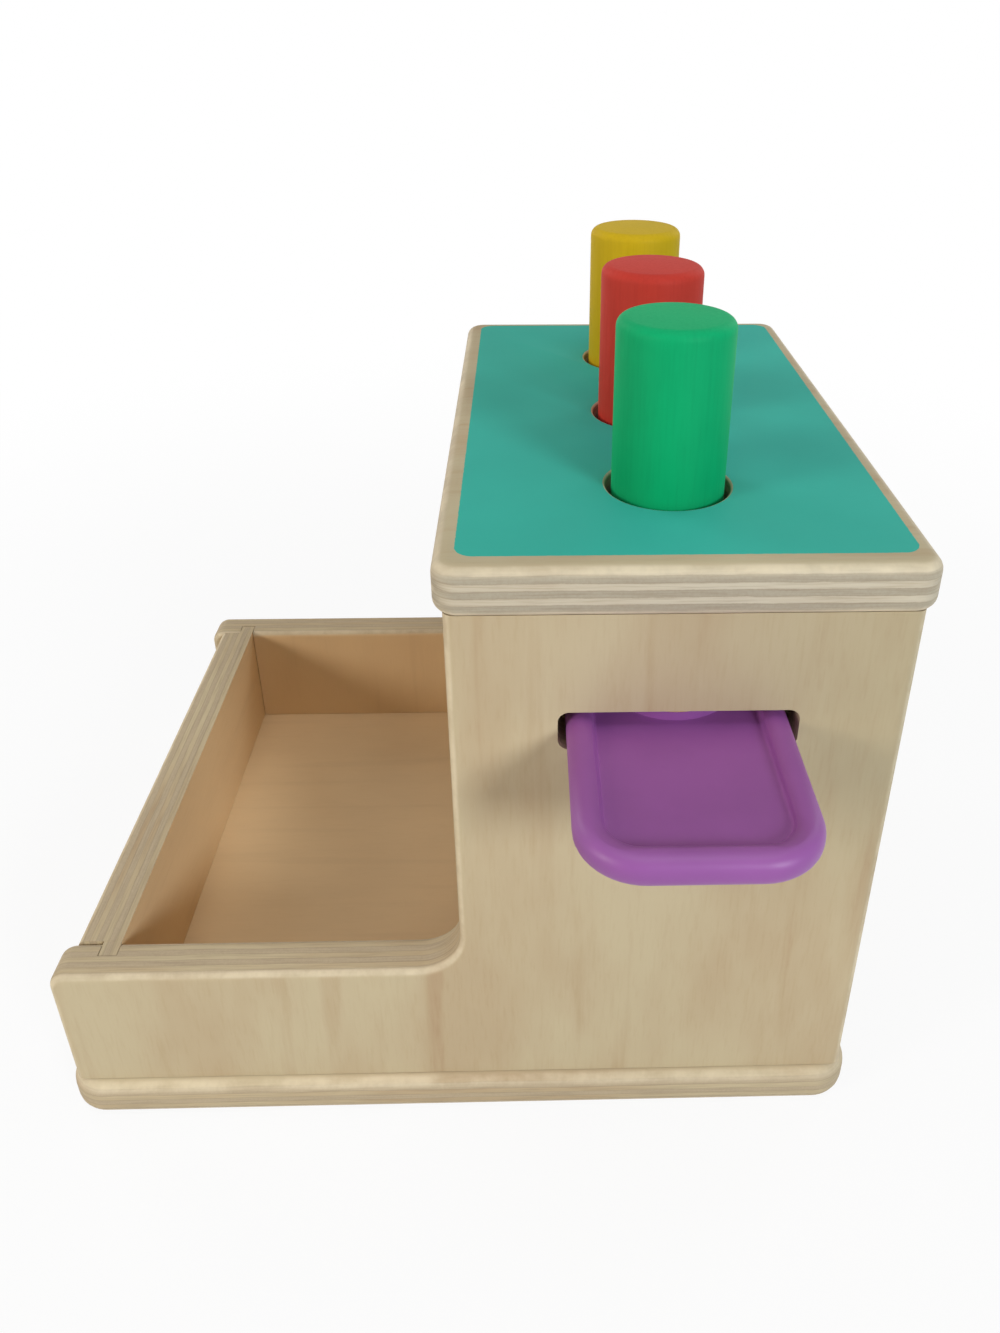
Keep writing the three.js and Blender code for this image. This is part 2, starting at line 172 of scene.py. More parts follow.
class PegDropColours(bpy.types.PropertyGroup):
    """Colours of the finishes"""

    birch: colour("Birch", "Face veneer", 196, 180, 146)
    # Painted highlight: a paler colour laid on the rounded edges where the lacquer catches the light
    painted_edge_highlight: colour("Highlight edge", "Rounded edges, sanded pale under the lacquer", 234, 219, 188)
    birch_streak: colour("Birch streak", "Darker bands and fibres in the veneer", 172, 142, 108)
    end_grain: colour("End grain", "Veneers cut across the grain", 186, 168, 139)
    # Painted shade: a darker tone laid over the veneer on part of the front panel
    heart: colour("Shading", "Tone laid over the veneer where it is deeper", 222, 222, 218)
    glue: colour("Glue line", "Thin lines between the veneers", 146, 128, 104)
    # Painted bounce light: the inside of tray and tower gets this lighter, warmer birch, standing in for the
    # warm light bounced inside them
    bare: colour("Bare birch", "Face veneer inside tray and tower, without lacquer", 223, 193, 149)
    border: colour("Lid border", "Face veneer of the lid round the paint", 191, 178, 146)
    lid_long: colour("Lid long grain", "Long grain on the lid's edges", 203, 193, 170)
    lid_end: colour("Lid end grain", "End grain on the lid's edges", 174, 164, 143)
    softwood: colour("Softwood", "Rails, cleat and dowels", 205, 178, 132)
    softwood_streak: colour("Softwood streak", "Late wood of the rails", 172, 132, 84)
    teal: colour("Teal", "Paint on the lid", 56, 175, 158)
    purple: colour("Purple", "Plastic of the slider", 147, 84, 154)
    green: colour("Green", "Paint of the front peg", 0, 164, 102)
    red: colour("Red", "Paint of the middle peg", 190, 56, 44)
    yellow: colour("Yellow", "Paint of the rear peg", 198, 166, 18)
    steel: colour("Steel", "Plated screws", 184, 186, 190)


# Outlines and meshes


def meeting_point(first, second):
    """Where two lines meet; a line is a point and a direction."""
    (p, along), (q, across) = first, second
    return p + along * ((q - p).cross(across) / along.cross(across))


def rounded_outline(corners, inset):
    """Points of a closed outline, run counter-clockwise.

    A corner is (x, y, radius, moved), and moved says whether the side that leaves it goes in by inset.
    """
    sides = []
    for i, (x, y, _, moved) in enumerate(corners):
        start = Vector((x, y))
        end = Vector(corners[(i + 1) % len(corners)][:2])
        along = (end - start).normalized()
        inward = Vector((-along.y, along.x))
        sides.append((start + inward * (inset if moved else 0), along))
    points = []
    for i, (_, _, radius, _) in enumerate(corners):
        before, after = sides[i - 1], sides[i]
        corner = meeting_point(before, after)
        if radius == 0:
            points.append(corner)
            continue
        turn = before[1].angle_signed(after[1]) * -1
        grown = max(radius - math.copysign(inset, turn), 0)
        start = corner - before[1] * grown * math.tan(abs(turn) / 2)
        side = math.copysign(1, turn)
        centre = start + Vector((-before[1].y, before[1].x)) * grown * side
        arm = start - centre
        for step in range(CORNER_STEPS + 1):
            angle = turn * step / CORNER_STEPS
            points.append(centre + Matrix.Rotation(angle, 2) @ arm)
    return points


def rounding(edge):
    """Steps of a quarter round as (inset, rise) pairs, from the flat face to the side."""
    angles = [math.pi / 2 * step / EDGE_STEPS for step in range(EDGE_STEPS + 1)]
    return [(edge * (1 - math.sin(a)), edge * (1 - math.cos(a))) for a in angles]


def lying(u, v, w):
    return Vector((u, v, w))


def upright(u, v, w):
    return Vector((u, w, v))


def lofted(name, rings):
    """A closed mesh object through rings of points, with flat ends."""
    bm = bmesh.new()
    loops = [[bm.verts.new(point) for point in ring] for ring in rings]
    count = len(loops[0])
    for lower, upper in zip(loops, loops[1:]):
        for i in range(count):
            j = (i + 1) % count
            bm.faces.new((lower[i], lower[j], upper[j], upper[i]))
    bm.faces.new(loops[0])
    bm.faces.new(loops[-1])
    bmesh.ops.remove_doubles(bm, verts=bm.verts, dist=1e-7)
    bmesh.ops.dissolve_degenerate(bm, dist=1e-7, edges=bm.edges)
    bmesh.ops.recalc_face_normals(bm, faces=bm.faces)
    mesh = bpy.data.meshes.new(name)
    bm.to_mesh(mesh)
    bm.free()
    piece = bpy.data.objects.new(name, mesh)
    bpy.context.scene.collection.objects.link(piece)
    return piece


def slab(name, corners, low, high, edge, place):
    """A board with the given outline between two levels, its moved sides rounded over."""
    levels = [(edge + SUPPORT, low)]
    levels += [(inset, low + rise) for inset, rise in rounding(edge)]
    levels += [(inset, high - rise) for inset, rise in reversed(rounding(edge))]
    levels += [(edge + SUPPORT, high)]
    rings = [[place(p.x, p.y, w) for p in rounded_outline(corners, inset)] for inset, w in levels]
    return lofted(name, rings)


def prism(name, corners, low, high, place):
    """A straight-sided solid with the given outline between two levels."""
    outline = rounded_outline(corners, 0)
    return lofted(name, [[place(p.x, p.y, w) for p in outline] for w in (low, high)])


def rectangle(x0, x1, y0, y1, radius=0):
    return [(x, y, radius, True) for x, y in ((x0, y0), (x1, y0), (x1, y1), (x0, y1))]


def block(name, low, high):
    return prism(name, rectangle(low[0], high[0], low[1], high[1]), low[2], high[2], lying)


def flared_cutter(name, corners, low, high, edge, place):
    """A cutter that leaves rounded rims where it comes out of both faces."""
    levels = [(-edge, low - OVERCUT), (-edge, low)]
    levels += [(-edge + inset, low + edge - rise) for rise, inset in rounding(edge)][::-1]
    levels += [(-edge + inset, high - edge + rise) for rise, inset in rounding(edge)]
    levels += [(-edge, high), (-edge, high + OVERCUT)]
    rings = [[place(p.x, p.y, w) for p in rounded_outline(corners, inset)] for inset, w in levels]
    return lofted(name, rings)


def round_rings(x, y, levels, steps):
    """Circles round a vertical line, one for each (radius, height) level."""
    angles = [2 * math.pi * step / steps for step in range(steps)]
    return [[Vector((x + r * math.cos(a), y + r * math.sin(a), z)) for a in angles] for r, z in levels]


def round_cutter(name, radius, x, y, low, high, edge):
    """A round cutter along Z that leaves rounded rims."""
    levels = [(radius + edge, low - OVERCUT)]
    levels += [(radius + inset, low + rise) for rise, inset in rounding(edge)][::-1]
    levels += [(radius + inset, high - rise) for rise, inset in rounding(edge)]
    levels += [(radius + edge, high + OVERCUT)]
    return lofted(name, round_rings(x, y, levels, HOLE_STEPS))


def plain_mesh(piece):
    """Puts the evaluated result of a piece's modifiers in its mesh and removes them."""
    evaluated = piece.evaluated_get(bpy.context.evaluated_depsgraph_get())
    mesh = bpy.data.meshes.new_from_object(evaluated)
    mesh.name = piece.name
    piece.modifiers.clear()
    piece.data = mesh


def combine(piece, others, operation):
    """Joins other solids to a piece or cuts them out of it, and removes them."""
    for other in others:
        modifier = piece.modifiers.new(other.name, "BOOLEAN")
        modifier.operation = operation
        modifier.solver = "EXACT"
        modifier.object = other
    plain_mesh(piece)
    for other in others:
        bpy.data.objects.remove(other)


def dress(piece, material, body, slot, *nodes):
    """Smooths a finished piece, gives it its finish and ties it to the frame."""
    mesh = piece.data
    for polygon in mesh.polygons:
        polygon.use_smooth = len(polygon.vertices) <= 4
        polygon.material_index = 0
    mesh.set_sharp_from_angle(angle=SHARP_ANGLE)
    mesh.materials.clear()
    mesh.materials.append(material)
    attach(piece, body)
    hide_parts(*nodes)


def redress(node, material):
    """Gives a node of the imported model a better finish."""
    materials = frame["nodes"][node].data.materials
    materials.clear()
    materials.append(material)


# Finishes


class Nodes:
    """A node tree, with short calls to add and link its nodes."""

    def __init__(self, tree):
        self.tree = tree
        self.tree.nodes.clear()

    def add(self, kind, inputs=None, **settings):
        node = self.tree.nodes.new(kind)
        for key, value in settings.items():
            setattr(node, key, value)
        for key, value in (inputs or {}).items():
            self.feed(node.inputs[key], value)
        return node

    def feed(self, socket, value):
        if isinstance(value, bpy.types.NodeSocket):
            self.tree.links.new(value, socket)
        elif socket.type == "RGBA":
            socket.default_value = (*value[:3], 1)
        else:
            socket.default_value = value

    def math(self, operation, first, second=0.0, third=0.0, clamp=False):
        node = self.add("ShaderNodeMath", {0: first, 1: second, 2: third}, operation=operation)
        node.use_clamp = clamp
        return node.outputs[0]

    def seen(self):
        """1 for rays that show the background: straight, mirrored and refracted ones."""
        path = self.add("ShaderNodeLightPath").outputs
        straight = self.math("MAXIMUM", path["Is Camera Ray"], path["Is Glossy Ray"])
        return self.math("MAXIMUM", straight, path["Is Transmission Ray"])


class Finish(Nodes):
    """A material, and the textures and blends that its finish is made of."""

    def __init__(self, name):
        self.material = bpy.data.materials.new(name)
        self.material.use_nodes = True
        super().__init__(self.material.node_tree)
        self.coordinates = self.add("ShaderNodeTexCoord")
        self.place = self.vector("SCALE", self.coordinates.outputs["Object"], scale=1 / MM)

    def vector(self, operation, first, second=(0, 0, 0), scale=1.0):
        inputs = {0: first, "Scale": scale} if operation == "SCALE" else {0: first, 1: second}
        node = self.add("ShaderNodeVectorMath", inputs, operation=operation)
        return node.outputs["Value" if operation == "LENGTH" else "Vector"]

    def parts(self, vector):
        node = self.add("ShaderNodeSeparateXYZ", {0: vector})
        return dict(zip("XYZ", node.outputs))

    def noise(self, vector, scale, detail=3.0, roughness=0.55):
        sockets = {"Vector": vector, "Scale": scale, "Detail": detail, "Roughness": roughness}
        return self.add("ShaderNodeTexNoise", sockets).outputs[0]

    def ramp(self, value, low, high, start=0.0, end=1.0):
        sockets = {"Value": value, "From Min": low, "From Max": high, "To Min": start, "To Max": end}
        node = self.add("ShaderNodeMapRange", sockets, interpolation_type="SMOOTHSTEP")
        return node.outputs["Result"]

    def blend(self, share, first, second, blend_type="MIX"):
        node = self.add("ShaderNodeMix", data_type="RGBA", blend_type=blend_type)
        for index, value in ((0, share), (6, first), (7, second)):
            self.feed(node.inputs[index], value)
        return node.outputs[2]

    def between(self, share, first, second):
        node = self.add("ShaderNodeMix", {0: share, 2: first, 3: second}, data_type="FLOAT")
        return node.outputs[0]

    def bump(self, height, millimetres, strength=1.0):
        sockets = {"Height": height, "Distance": millimetres * MM, "Strength": strength}
        return self.add("ShaderNodeBump", sockets).outputs["Normal"]

    def surface(self, **sockets):
        inputs = {key.replace("_", " "): value for key, value in sockets.items()}
        shader = self.add("ShaderNodeBsdfPrincipled", inputs)
        self.add("ShaderNodeOutputMaterial", {"Surface": shader.outputs[0]})
        return self.material


def stretched(finish, along, lengthwise, crosswise):
    """Coordinates in millimetres that are drawn out along the grain."""
    scale = [lengthwise if axis == along else crosswise for axis in "XYZ"]
    return finish.vector("MULTIPLY", finish.place, scale)


def veneer_grain(finish, along):
    """Soft clouds, brown bands and short fibres of a veneer whose grain runs along one axis."""
    cloud = finish.noise(stretched(finish, along, 0.012, 0.035), 1.0, 3.0, 0.6)
    band = finish.noise(stretched(finish, along, 0.009, 0.15), 1.0, 3.0, 0.5)
    fibre = finish.noise(stretched(finish, along, 0.14, 1.3), 1.0, 3.0, 0.55)
    return cloud, band, fibre


VENEERS = 7
# Reach and strength of the painted shade on the front panel
PAINTED_SHADE_REACH = (8, 88)
PAINTED_SHADE_DEPTH = 0.65


def inside_share(finish, place):
    """1 on the surfaces that close in the tray and the tower, and 0 on all the others."""
    walls = (
        ("X", TRAY_HIGH.x, SIDE_LOW.x),
        ("Y", FRONT_HIGH.y, REAR_LOW.y),
        ("Z", BASE_HIGH.z, LID_LOW.z),
    )
    share = 1.0
    for axis, low, high in walls:
        above = finish.ramp(place[axis], low / MM - 0.4, low / MM - 0.2)
        below = finish.ramp(place[axis], high / MM + 0.2, high / MM + 0.4, 1.0, 0.0)
        share = finish.math("MULTIPLY", share, finish.math("MULTIPLY", above, below))
    return share


def plywood_nodes(
    finish, colours, through, along, start, face=None, edge=None, end=None, bare=True, edges=True, heart=None
):
    """Colour, roughness and bump height of plywood, layer by layer through its thickness.

    The outer veneers' grain runs along one axis and every second veneer's across it, so an edge shows
    long grain and end grain in turn. Own colours may be given for the face, and for long grain and end
    grain on the edges. Inside tray and tower the face takes a lighter, warmer colour with faded grain,
    painted bounce light, unless bare is off. A board without edges shows its face all over, rounded edges
    get a painted highlight, and heart is the middle of a painted shade where the face is darker.
    """
    across = next(axis for axis in "XYZ" if axis not in (through, along))
    place = finish.parts(finish.place)
    normal = finish.parts(finish.coordinates.outputs["Normal"])
    facing = {axis: finish.math("POWER", finish.math("ABSOLUTE", normal[axis]), 2.0) for axis in "XYZ"}
    on_edge = finish.math("SUBTRACT", 1.0, facing[through]) if edges else 0.0

    veneer = THICKNESS / MM / VENEERS
    waver = finish.math("SUBTRACT", finish.noise(finish.place, 0.05, 2.0), 0.5)
    tearing = finish.math("SUBTRACT", finish.noise(finish.place, 0.3, 5.0, 0.7), 0.5)
    depth = finish.math("SUBTRACT", place[through], start / MM)
    depth = finish.math("MULTIPLY_ADD", waver, 0.7, depth)
    depth = finish.math("MULTIPLY_ADD", tearing, 0.5, depth)
    depth = finish.math("MINIMUM", finish.math("MAXIMUM", depth, 0.05), THICKNESS / MM - 0.05)
    layers = finish.math("DIVIDE", depth, veneer)
    odd = finish.math("FLOORED_MODULO", finish.math("FLOOR", layers), 2.0)
    in_layer = finish.math("FRACT", layers)

    grains = zip(veneer_grain(finish, along), veneer_grain(finish, across))
    cloud, band, fibre = [finish.between(odd, outer, inner) for outer, inner in grains]
    end_share = finish.between(odd, facing[along], facing[across])
    # Painted bounce light: inside tray and tower the grain fades and the face takes the lighter, warmer
    # inside colour
    inside = inside_share(finish, place) if bare else 0.0

    clouds = finish.ramp(cloud, 0.35, 0.7)
    bands = finish.ramp(band, 0.55, 0.72)
    fibres = finish.ramp(fibre, 0.45, 0.75)
    tone = finish.math("MULTIPLY_ADD", clouds, 0.4, finish.math("MULTIPLY", bands, 0.3))
    tone = finish.math("MULTIPLY_ADD", fibres, 0.12, tone, clamp=True)
    tone = finish.math("MULTIPLY", tone, finish.math("MULTIPLY_ADD", inside, -0.72, 1.0))
    on_face = finish.blend(inside, face or colours.birch, colours.bare)
    face = finish.blend(on_edge, on_face, edge or colours.birch)
    long_grain = finish.blend(tone, face, colours.birch_streak)
    speckle = finish.ramp(finish.noise(finish.place, 1.6, 2.0), 0.35, 0.7, 0.0, 0.15)
    end_grain = finish.blend(speckle, end or colours.end_grain, colours.glue)
    wood = finish.blend(end_share, long_grain, end_grain)

    from_line = finish.math("MINIMUM", in_layer, finish.math("SUBTRACT", 1.0, in_layer))
    line = finish.ramp(from_line, 0.03, 0.14, 0.3, 0.0)
    wood = finish.blend(finish.math("MULTIPLY", line, on_edge), wood, colours.glue)
    streak = finish.noise(stretched(finish, through, 2.0, 0.06), 1.0, 4.0, 0.65)
    streak = finish.math("MULTIPLY", finish.ramp(streak, 0.42, 0.72, 0.0, 0.4), on_edge)
    wood = finish.blend(streak, wood, colours.glue)
    # Painted highlight: the roundings turn paler, standing in for the lacquer's gloss catching the light
    round_share = finish.math("MULTIPLY", finish.math("MULTIPLY", on_edge, facing[through]), 4.0)
    painted_highlight = finish.ramp(finish.noise(finish.place, 0.09, 4.0, 0.65), 0.3, 0.7, 0.15, 0.6)
    painted_highlight = finish.math("MULTIPLY", finish.ramp(round_share, 0.1, 1.0), painted_highlight)
    wood = finish.blend(painted_highlight, wood, colours.painted_edge_highlight)
    # Painted shade: the face darkens round a point, at the front panel's upper right end
    if heart:
        far = finish.vector("LENGTH", finish.vector("SUBTRACT", finish.place, Vector(heart) / MM))
        depth = finish.ramp(far, *PAINTED_SHADE_REACH, PAINTED_SHADE_DEPTH, 0.0)
        wood = finish.blend(depth, wood, colours.heart, "MULTIPLY")
    roughness = finish.math("MULTIPLY_ADD", fibres, 0.1, 0.6)
    sunk = finish.math("MULTIPLY", finish.math("MULTIPLY", odd, on_edge), -0.8)
    height = finish.math("MULTIPLY_ADD", band, 0.6, finish.math("ADD", fibre, sunk))
    return wood, roughness, height, facing


def plywood(name, colours, through, along, start, **own):
    """Clear-lacquered birch plywood."""
    finish = Finish(name)
    wood, roughness, height, _ = plywood_nodes(finish, colours, through, along, start, **own)
    return finish.surface(
        Base_Color=wood,
        Roughness=roughness,
        Specular_IOR_Level=0.2,
        Coat_Weight=0.03,
        Coat_Roughness=0.4,
        Normal=finish.bump(height, 0.05, 0.4),
    )


def painted_lid(colours, sizes):
    """Plywood with a painted field on top, inside an unpainted border; the peg holes' rims stay unpainted.
    """
    finish = Finish("painted_lid")
    own = {"face": colours.border, "edge": colours.lid_long, "end": colours.lid_end}
    wood, roughness, height, facing = plywood_nodes(finish, colours, "Z", "X", LID_LOW.z, **own)
    low = Vector((LID_LOW.x + sizes.paint_left, LID_LOW.y + sizes.paint_front))
    high = Vector((LID_HIGH.x - sizes.paint_right, LID_HIGH.y - sizes.paint_rear))
    middle = (low + high) / 2 / MM
    reach = (high - low) / 2 / MM - Vector((sizes.paint_corner, sizes.paint_corner)) / MM
    from_middle = finish.vector("ABSOLUTE", finish.vector("SUBTRACT", finish.place, (*middle, 0)))
    flat = finish.vector("MULTIPLY", finish.vector("SUBTRACT", from_middle, (*reach, 0)), (1, 1, 0))
    distance = finish.vector("LENGTH", finish.vector("MAXIMUM", flat))
    ragged = finish.math("MULTIPLY_ADD", finish.noise(finish.place, 0.7), 0.3, distance)
    edge = sizes.paint_corner / MM + 0.15
    inside = finish.ramp(ragged, edge - 0.08, edge + 0.08, 1.0, 0.0)
    on_top = finish.ramp(facing["Z"], 0.86, 0.95)
    top_only = finish.ramp(finish.parts(finish.place)["Z"], LID_HIGH.z / MM - 1.2, LID_HIGH.z / MM - 0.9)
    painted = finish.math("MULTIPLY", finish.math("MULTIPLY", inside, on_top), top_only)

    cloud = finish.ramp(finish.noise(finish.place, 0.03, 4.0), 0.3, 0.75, 0.0, 0.22)
    darker = [value * 0.72 for value in colours.teal]
    paint = finish.blend(cloud, colours.teal, darker)
    orange_peel = finish.noise(finish.place, 0.9, 2.0)
    skin = finish.between(painted, height, finish.math("MULTIPLY_ADD", orange_peel, 0.5, 0.4))
    return finish.surface(
        Base_Color=finish.blend(painted, wood, paint),
        Roughness=finish.between(painted, roughness, 0.62),
        Specular_IOR_Level=0.14,
        Normal=finish.bump(skin, 0.05, 0.45),
    )


def painted_wood(name, paint):
    """Satin paint over a turned peg, with the wood's fibres just showing through."""
    finish = Finish(name)
    fibre = finish.noise(stretched(finish, "Z", 0.05, 1.1), 1.0, 4.0, 0.6)
    cloud = finish.noise(finish.place, 0.06, 3.0)
    darker = [value * 0.66 for value in paint]
    shade = finish.math("MULTIPLY_ADD", finish.ramp(fibre, 0.42, 0.75), 0.22, 0.0)
    shade = finish.math("MULTIPLY_ADD", finish.ramp(cloud, 0.35, 0.75), 0.18, shade)
    roughness = finish.math("MULTIPLY_ADD", fibre, 0.12, 0.55)
    return finish.surface(
        Base_Color=finish.blend(shade, paint, darker),
        Roughness=roughness,
        Specular_IOR_Level=0.14,
        Normal=finish.bump(fibre, 0.06, 0.6),
    )


def moulded_plastic(name, plastic):
    """Satin moulded plastic with a fine grain."""
    finish = Finish(name)
    cloud = finish.noise(finish.place, 0.05, 3.0)
    grain = finish.noise(finish.place, 2.6, 2.0)
    darker = [value * 0.8 for value in plastic]
    return finish.surface(
        Base_Color=finish.blend(finish.ramp(cloud, 0.35, 0.7, 0.0, 0.35), plastic, darker),
        Roughness=finish.math("MULTIPLY_ADD", grain, 0.14, 0.36),
        Specular_IOR_Level=0.35,
        Subsurface_Weight=0.06,
        Subsurface_Radius=(0.002, 0.001, 0.002),
        Subsurface_Scale=0.5,
        Normal=finish.bump(grain, 0.02, 0.35),
    )


def planed_softwood(name, colours, along):
    """Bare planed softwood with darker late wood."""
    finish = Finish(name)
    rings = finish.noise(stretched(finish, along, 0.006, 0.25), 1.0, 2.0, 0.5)
    bands = finish.math("PINGPONG", finish.math("MULTIPLY", rings, 9.0), 1.0)
    fibre = finish.noise(stretched(finish, along, 0.08, 1.6), 1.0, 3.0)
    fibres = finish.math("MULTIPLY", fibre, 0.3)
    tone = finish.math("MULTIPLY_ADD", finish.ramp(bands, 0.55, 1.0), 0.6, fibres)
    return finish.surface(
        Base_Color=finish.blend(tone, colours.softwood, colours.softwood_streak),
        Roughness=finish.math("MULTIPLY_ADD", fibre, 0.15, 0.55),
        Normal=finish.bump(fibre, 0.08, 0.5),
    )


def plated_steel(name, steel):
    """Zinc plating with a fine spread of tones."""
    finish = Finish(name)
    spangle = finish.noise(finish.place, 1.4, 3.0)
    darker = [value * 0.7 for value in steel]
    return finish.surface(
        Base_Color=finish.blend(finish.ramp(spangle, 0.35, 0.7), steel, darker),
        Metallic=1.0,
        Roughness=finish.math("MULTIPLY_ADD", spangle, 0.2, 0.25),
    )


# Geometry node trees


class ShapeTree(Nodes):
    """A geometry node tree with named inputs."""

    def __init__(self, name, lengths):
        super().__init__(bpy.data.node_groups.new(name, "GeometryNodeTree"))
        interface = self.tree.interface
        self.sockets = {key: interface.new_socket(key, socket_type="NodeSocketFloat") for key in lengths}
        self.sockets["Material"] = interface.new_socket("Material", socket_type="NodeSocketMaterial")
        interface.new_socket("Geometry", in_out="OUTPUT", socket_type="NodeSocketGeometry")
        self.given = self.add("NodeGroupInput").outputs

    def spot(self, **parts):
        return self.add("ShaderNodeCombineXYZ", parts).outputs[0]

    def cone(self, steps, top, bottom, depth):
        sockets = {"Vertices": steps, "Radius Top": top, "Radius Bottom": bottom, "Depth": depth}
        return self.add("GeometryNodeMeshCone", sockets).outputs["Mesh"]

    def joined(self, parts):
        join = self.add("GeometryNodeJoinGeometry")
        for part in parts:
            self.tree.links.new(part, join.inputs[0])
        return join.outputs[0]

    def boolean(self, operation, **meshes):
        node = self.add("GeometryNodeMeshBoolean", operation=operation, solver="EXACT")
        self.feed(node.inputs["Self Intersection"], True)
        for key, mesh in meshes.items():
            self.feed(node.inputs[key.replace("_", " ")], mesh)
        return node.outputs[0]

    def captured(self, geometry, kind, name, value):
        node = self.add("GeometryNodeCaptureAttribute", {"Geometry": geometry})
        node.capture_items.new(kind, name)
        self.feed(node.inputs[name], value)
        return node.outputs["Geometry"], node.outputs[name]

    def end(self, geometry):
        """Realizes the result, gives it its finish and hands it out."""
        real = self.add("GeometryNodeRealizeInstances", {"Geometry": geometry}).outputs[0]
        done = self.add("GeometryNodeSetMaterial", {"Geometry": real, "Material": self.given["Material"]})
        self.add("NodeGroupOutput", {0: done.outputs[0]})

    def piece(self, name, material, offset, **values):
        """A plain mesh object made by the tree, with its place put in its mesh."""
        made = bpy.data.objects.new(name, bpy.data.meshes.new(name))
        bpy.context.scene.collection.objects.link(made)
        modifier = made.modifiers.new(self.tree.name, "NODES")
        modifier.node_group = self.tree
        modifier[self.sockets["Material"].identifier] = material
        for key, value in values.items():
            modifier[self.sockets[key.replace("_", " ")].identifier] = value
        plain_mesh(made)
        made.data.transform(Matrix.Translation(offset))
        return made


def turned_peg_tree():
    """A round peg with rounded ends: a line whose radius follows a quarter circle at both ends."""
    tree = ShapeTree("Turned peg", ("Length", "Radius", "Edge"))
    given = tree.given
    top = tree.spot(Z=given["Length"])
    line = tree.add("GeometryNodeCurvePrimitiveLine", {"End": top}).outputs[0]
    line = tree.add("GeometryNodeResampleCurve", {"Curve": line, "Count": PEG_RINGS}).outputs[0]
    share = tree.add("GeometryNodeSplineParameter").outputs["Factor"]
    swing = tree.math("COSINE", tree.math("MULTIPLY", share, math.pi))
    eased = tree.math("MULTIPLY", tree.math("SUBTRACT", 1.0, swing), 0.5)
    height = tree.math("MULTIPLY", eased, given["Length"])
    spot = tree.spot(Z=height)
    to_end = tree.math("MINIMUM", height, tree.math("SUBTRACT", given["Length"], height))
    short = tree.math("MAXIMUM", tree.math("SUBTRACT", given["Edge"], to_end), 0.0)
    edge_square = tree.math("POWER", given["Edge"], 2.0)
    squares = tree.math("SUBTRACT", edge_square, tree.math("POWER", short, 2.0))
    bulge = tree.math("SQRT", tree.math("MAXIMUM", squares, 0.0))
    core = tree.math("SUBTRACT", given["Radius"], given["Edge"])
    line, radius = tree.captured(line, "FLOAT", "Radius", tree.math("ADD", core, bulge))
    line, place = tree.captured(line, "VECTOR", "Spot", spot)
    sockets = {"Geometry": line, "Position": place}
    moved = tree.add("GeometryNodeSetPosition", sockets).outputs[0]
    sockets = {"Resolution": PEG_STEPS, "Radius": 1.0}
    ring = tree.add("GeometryNodeCurvePrimitiveCircle", sockets).outputs[0]
    skin = tree.add(
        "GeometryNodeCurveToMesh",
        {"Curve": moved, "Profile Curve": ring, "Scale": radius, "Fill Caps": True},
    )
    tree.end(skin.outputs[0])
    return tree


def countersunk_screws_tree():
    """Two rows of three countersunk screws, heads down, with a cross recess in each head."""
    lengths = ("Head Radius", "Head Height", "Shank Radius", "Length", "Point", "Spread X", "Spread Y")
    tree = ShapeTree("Countersunk screws", lengths)
    given = tree.given
    shank_radius = given["Shank Radius"]
    head = tree.cone(HEAD_STEPS, shank_radius, given["Head Radius"], given["Head Height"])
    straight = tree.math("SUBTRACT", given["Length"], given["Point"])
    sockets = {"Vertices": SHANK_STEPS, "Radius": shank_radius, "Depth": straight}
    shank = tree.add("GeometryNodeMeshCylinder", sockets).outputs["Mesh"]
    raised = tree.spot(Z=tree.math("MULTIPLY", straight, 0.5))
    shank = tree.add("GeometryNodeTransform", {"Geometry": shank, "Translation": raised}).outputs[0]
    point = tree.cone(SHANK_STEPS, SCREW_TIP, shank_radius, given["Point"])
    tip = tree.spot(Z=straight)
    point = tree.add("GeometryNodeTransform", {"Geometry": point, "Translation": tip}).outputs[0]
    union = tree.boolean("UNION", Mesh_2=tree.joined((point, shank, head)))
    bar_length = tree.math("MULTIPLY", given["Head Radius"], 1.15)
    bar_width = tree.math("MULTIPLY", given["Head Radius"], 0.24)
    bar_depth = tree.math("MULTIPLY", given["Head Height"], 1.1)
    bars = []
    for x, y in ((bar_length, bar_width), (bar_width, bar_length)):
        size = tree.spot(X=x, Y=y, Z=bar_depth)
        bars.append(tree.add("GeometryNodeMeshCube", {"Size": size}).outputs["Mesh"])
    cut = tree.boolean("DIFFERENCE", Mesh_1=union, Mesh_2=tree.joined(bars))
    places = tree.add(
        "GeometryNodeMeshGrid",
        {"Size X": given["Spread X"], "Size Y": given["Spread Y"], "Vertices X": 3, "Vertices Y": 2},
    ).outputs["Mesh"]
    screws = tree.add("GeometryNodeInstanceOnPoints", {"Points": places, "Instance": cut})
    tree.end(screws.outputs[0])
    return tree


# Pieces


def panel_corners(sizes, low, high):
    """The L-shaped outline of an end panel in X and Z; foot and head stay square."""
    tower = high.x - sizes.tower_left
    return [
        (low.x, low.z, 0, False),
        (high.x, low.z, 0, True),
        (high.x, high.z, 0, False),
        (tower, high.z, 0, True),
        (tower, TRAY_RIM, sizes.step_fillet, True),
        (low.x, TRAY_RIM, sizes.tray_corner, True),
    ]


def tongue_span(sizes, low, high, outer_is_low):
    """X range of a wall's tongue, which is flush with the wall's inner face."""
    if outer_is_low:
        return high.x - sizes.tongue_thickness, high.x
    return low.x, low.x + sizes.tongue_thickness


def wall_list():
    """Each wall's name and corners, and whether its outer face is the low X one."""
    return (
        ("tray_wall", TRAY_LOW, TRAY_HIGH, True),
        ("tower_side_wall", SIDE_LOW, SIDE_HIGH, False),
        ("exit_curtain_wall", CURTAIN_LOW, CURTAIN_HIGH, True),
    )


